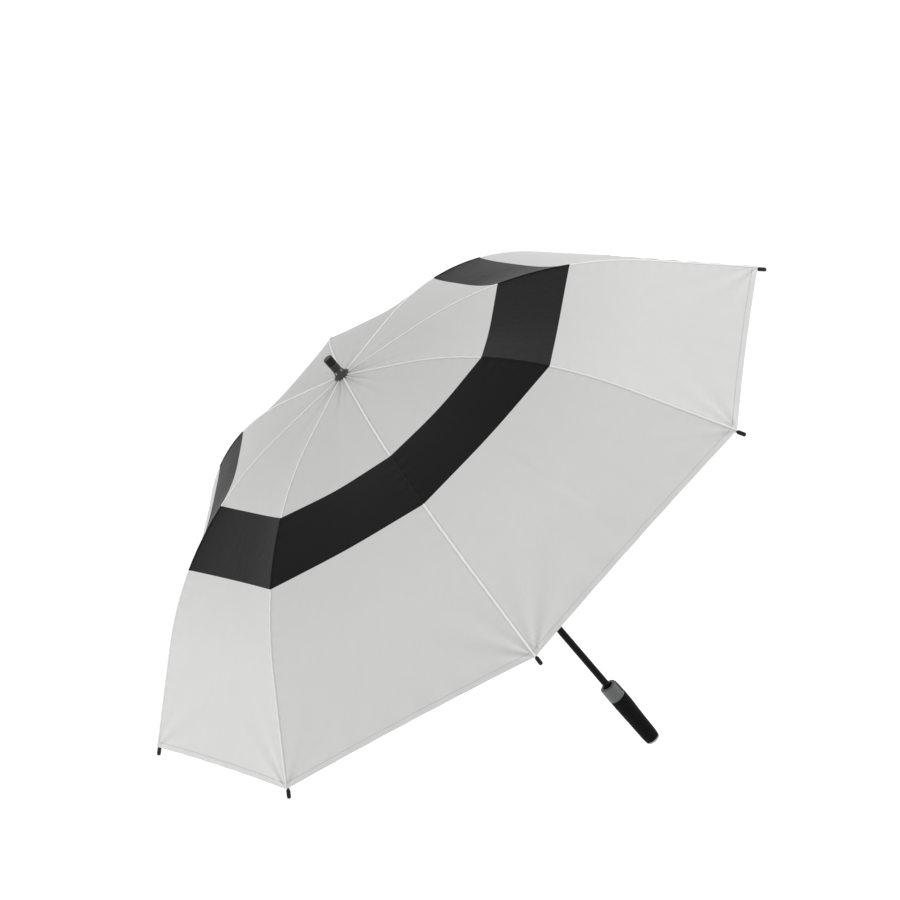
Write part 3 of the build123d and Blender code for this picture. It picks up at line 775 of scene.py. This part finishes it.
def ring_of(build, centre, first, second, radius, count=14):
    """A ring of points round centre, in the plane of two directions."""
    made = []
    for i in range(count):
        angle = 2 * pi * i / count
        spoke = first * cos(angle) + second * sin(angle)
        made.append(build.point(centre + spoke * radius))
    return made


def make_rod(rib):
    """The one springy rod of a rib, with the thread ties that hold the cloth to it."""
    build = Builder()
    rings = []
    end = SEAM_END + 0.004
    count = int((end - ROD_START) / RING_STEP)
    for i in range(count + 1):
        s = ROD_START + (end - ROD_START) * i / count
        _, out, across = rib_axes(rib, s)
        rings.append(ring_of(build, ridge_point(rib, s, ROD_DROP), out, across, ROD_R))
    build.tube(rings)
    for place in TIE_PLACES:
        for turn in TIE_TURNS:
            add_tie(build, rib, place + turn)
    piece = build.make(f"rib_rod_{rib}", [MATERIALS["fibreglass"], MATERIALS["thread"]])
    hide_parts(f"rib_outer_{rib}")
    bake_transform(piece)


def add_tie(build, rib, s):
    """One turn of thread round the rod and up into the seam."""
    along, out, across = rib_axes(rib, s)
    centre = ridge_point(rib, s, ROD_DROP)
    rings = []
    count = 18
    for i in range(count):
        angle = 2 * pi * i / count
        tall = 0.0010 if cos(angle) > 0 else 0.0
        spoke = out * cos(angle) + across * sin(angle)
        middle = centre + spoke * (ROD_R + TIE_R) + out * tall * cos(angle)
        rings.append(ring_of(build, middle, spoke, along, TIE_R, 6))
    build.tube(rings + rings[:1], 1, caps=False)


# ---------------------------------------------------------------- tie strap
STRAP_L = 0.150
STRAP_LIFT = 0.010           # how much further out the closed strap would lie; nothing moves it
STRAP_KEEP = 0.9
STRAP_W = 0.018
STRAP_T = 0.0012
STRAP_RIB = 3
STRAP_MIDDLE = SEAM_END - 0.095
STRAP_CORNER = 0.006         # radius of its rounded corners
STRAP_STITCHES = 38


def strap_point(along_share, across, lift):
    """A point on the strap, which lies along its seam and lifts a little at its free end."""
    s = STRAP_MIDDLE + (along_share - 0.5) * STRAP_L
    _, out, side = rib_axes(STRAP_RIB, s)
    wave = 0.0005 * sin(along_share * 9.0) + 0.0022 * smooth((0.30 - along_share) / 0.30)
    cup = -0.0010 * (abs(across) / (STRAP_W / 2)) ** 2
    return ridge_point(STRAP_RIB, s) + side * across + out * (0.0016 + wave + cup + lift)


def make_strap():
    """Two layers of cloth sewn together, with a snap fastener near the free end."""
    build = Builder()
    rows, columns = 60, 12
    grids = ([], [])
    for i in range(rows + 1):
        share = i / rows
        end = min(share, 1 - share) * STRAP_L
        bend = max(STRAP_CORNER - end, 0.0)
        half = STRAP_W / 2 - STRAP_CORNER + sqrt(max(STRAP_CORNER**2 - bend**2, 0.0))
        for level, lift in enumerate((STRAP_T / 2, -STRAP_T / 2)):
            line = []
            for j in range(columns + 1):
                across = half * (2 * j / columns - 1)
                edge = clamp((half - abs(across)) / 0.0012)
                line.append(build.point(
                    strap_point(share, across, lift * (0.35 + 0.65 * smooth(edge))),
                    None,
                    (across, share * STRAP_L, 0.0),
                ))
            grids[level].append(line)
    build.sheet(*grids)
    for edge in (-1, 1):
        for i in range(STRAP_STITCHES):
            share = 0.05 + i * 0.9 / STRAP_STITCHES
            across = edge * (STRAP_W / 2 - 0.0025)
            ends = [strap_point(place, across, STRAP_T / 2) for place in (share, share + 0.016)]
            spindle(build, ends[0], ends[1], rib_axes(STRAP_RIB, STRAP_MIDDLE)[1], 0.0002, 1)
    piece = build.make("tie_strap_cloth", [MATERIALS["strap"], MATERIALS["thread"]], radians(70))
    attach(piece, f"rib_outer_{STRAP_RIB}")
    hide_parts("tie_strap")
    lift_clear(piece)
    snap = make_snap()


def lift_clear(piece):
    """Works out where closing would lift the strap off its seam, outside the gore that laps over it, and gives it
    its own mesh; nothing lifts it.
    """
    out = rib_axes(STRAP_RIB, STRAP_MIDDLE)[1]
    anchor = ridge_point(STRAP_RIB, STRAP_MIDDLE) + out * STRAP_LIFT / (1 - STRAP_KEEP)
    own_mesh(piece)


def make_snap():
    """The snap fastener's cap: a domed disc with a rolled edge."""
    build = Builder()
    along, out, side = rib_axes(STRAP_RIB, STRAP_MIDDLE)
    centre = strap_point(0.09, 0.0, STRAP_T / 2)
    profile = [(0.0052, -0.0002), (0.0055, 0.0004), (0.0052, 0.0010), (0.0046, 0.0011)]
    profile += [(0.0040, 0.0008), (0.0030, 0.0012), (0.0018, 0.0015), (0.0006, 0.0016)]
    rings = [ring_of(build, centre + out * h, along, side, r, 32) for r, h in profile]
    build.tube(rings)
    piece = build.make("strap_snap", [MATERIALS["gloss"]])
    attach(piece, f"rib_outer_{STRAP_RIB}")
    lift_clear(piece)
    return piece


# ---------------------------------------------------------------- floor, light and camera
FLOOR_Z = -1.15              # a hand holds the umbrella, so its handle is well above the floor
CAMERA_AZIMUTH = radians(4.42)
CAMERA_ELEVATION = radians(22.523)
CAMERA_DISTANCE = 7.3204
CAMERA_AIM = Vector((0.0562, 0.0043, 0.6621))
CAMERA_ROLL = radians(40.384)
CAMERA_LENS = 174.51
FLOOR_GLOW = 0.34
WORLD_GLOW = 0.80


def make_floor():
    """A wide white disc, bright enough to show as plain white."""
    place = (0, 0, FLOOR_Z)
    bpy.ops.mesh.primitive_circle_add(vertices=96, radius=60, fill_type="NGON", location=place)
    floor = bpy.context.object
    floor.name = "studio_floor"
    made, _, _, shader = new_material("pale_floor", (0.90, 0.90, 0.90), 0.85, 0.1)
    shader.inputs["Emission Color"].default_value = (1, 1, 1, 1)
    shader.inputs["Emission Strength"].default_value = FLOOR_GLOW
    floor.data.materials.append(made)


def area_light(name, place, aim, size, power):
    data = bpy.data.lights.new(name, "AREA")
    data.shape = "DISK"
    data.size = size
    data.energy = power
    lamp = bpy.data.objects.new(name, data)
    lamp.location = place
    lamp.rotation_mode = "QUATERNION"
    lamp.rotation_quaternion = (Vector(aim) - Vector(place)).to_track_quat("-Z", "Y")
    bpy.context.scene.collection.objects.link(lamp)


def make_light():
    """White surroundings, and a wide lamp at each side that lights the side panels most."""
    world = bpy.data.worlds.new("studio")
    world.use_nodes = True
    background = world.node_tree.nodes["Background"]
    background.inputs["Color"].default_value = (1, 1, 1, 1)
    background.inputs["Strength"].default_value = WORLD_GLOW
    bpy.context.scene.world = world
    area_light("key_left", (-4.5, -0.8, 1.1), (0, 0, 0.7), 2.2, 62)
    area_light("fill_right", (4.4, -1.1, 1.3), (0, 0, 0.7), 2.2, 58)
    settings = bpy.context.scene.view_settings
    settings.view_transform = "Standard"
    settings.look = "None"


def make_camera():
    """A long lens in front of the umbrella and above it, rolled about its own axis."""
    data = bpy.data.cameras.new("camera")
    data.lens = CAMERA_LENS
    data.sensor_width = 36
    data.clip_end = 200
    camera = bpy.data.objects.new("camera", data)
    back = Vector((
        sin(CAMERA_AZIMUTH) * cos(CAMERA_ELEVATION),
        -cos(CAMERA_AZIMUTH) * cos(CAMERA_ELEVATION),
        sin(CAMERA_ELEVATION),
    ))
    camera.location = CAMERA_AIM + back * CAMERA_DISTANCE
    look = (-back).to_track_quat("-Z", "Y").to_matrix()
    camera.rotation_mode = "QUATERNION"
    camera.rotation_quaternion = (look @ Matrix.Rotation(-CAMERA_ROLL, 3, "Z")).to_quaternion()
    bpy.context.scene.collection.objects.link(camera)
    bpy.context.scene.camera = camera


make_floor()
make_light()
make_camera()
dress_cad_nodes()
make_canopy()
for rib_number in range(1, RIBS + 1):
    make_seam(rib_number)
    make_rod(rib_number)
make_strap()
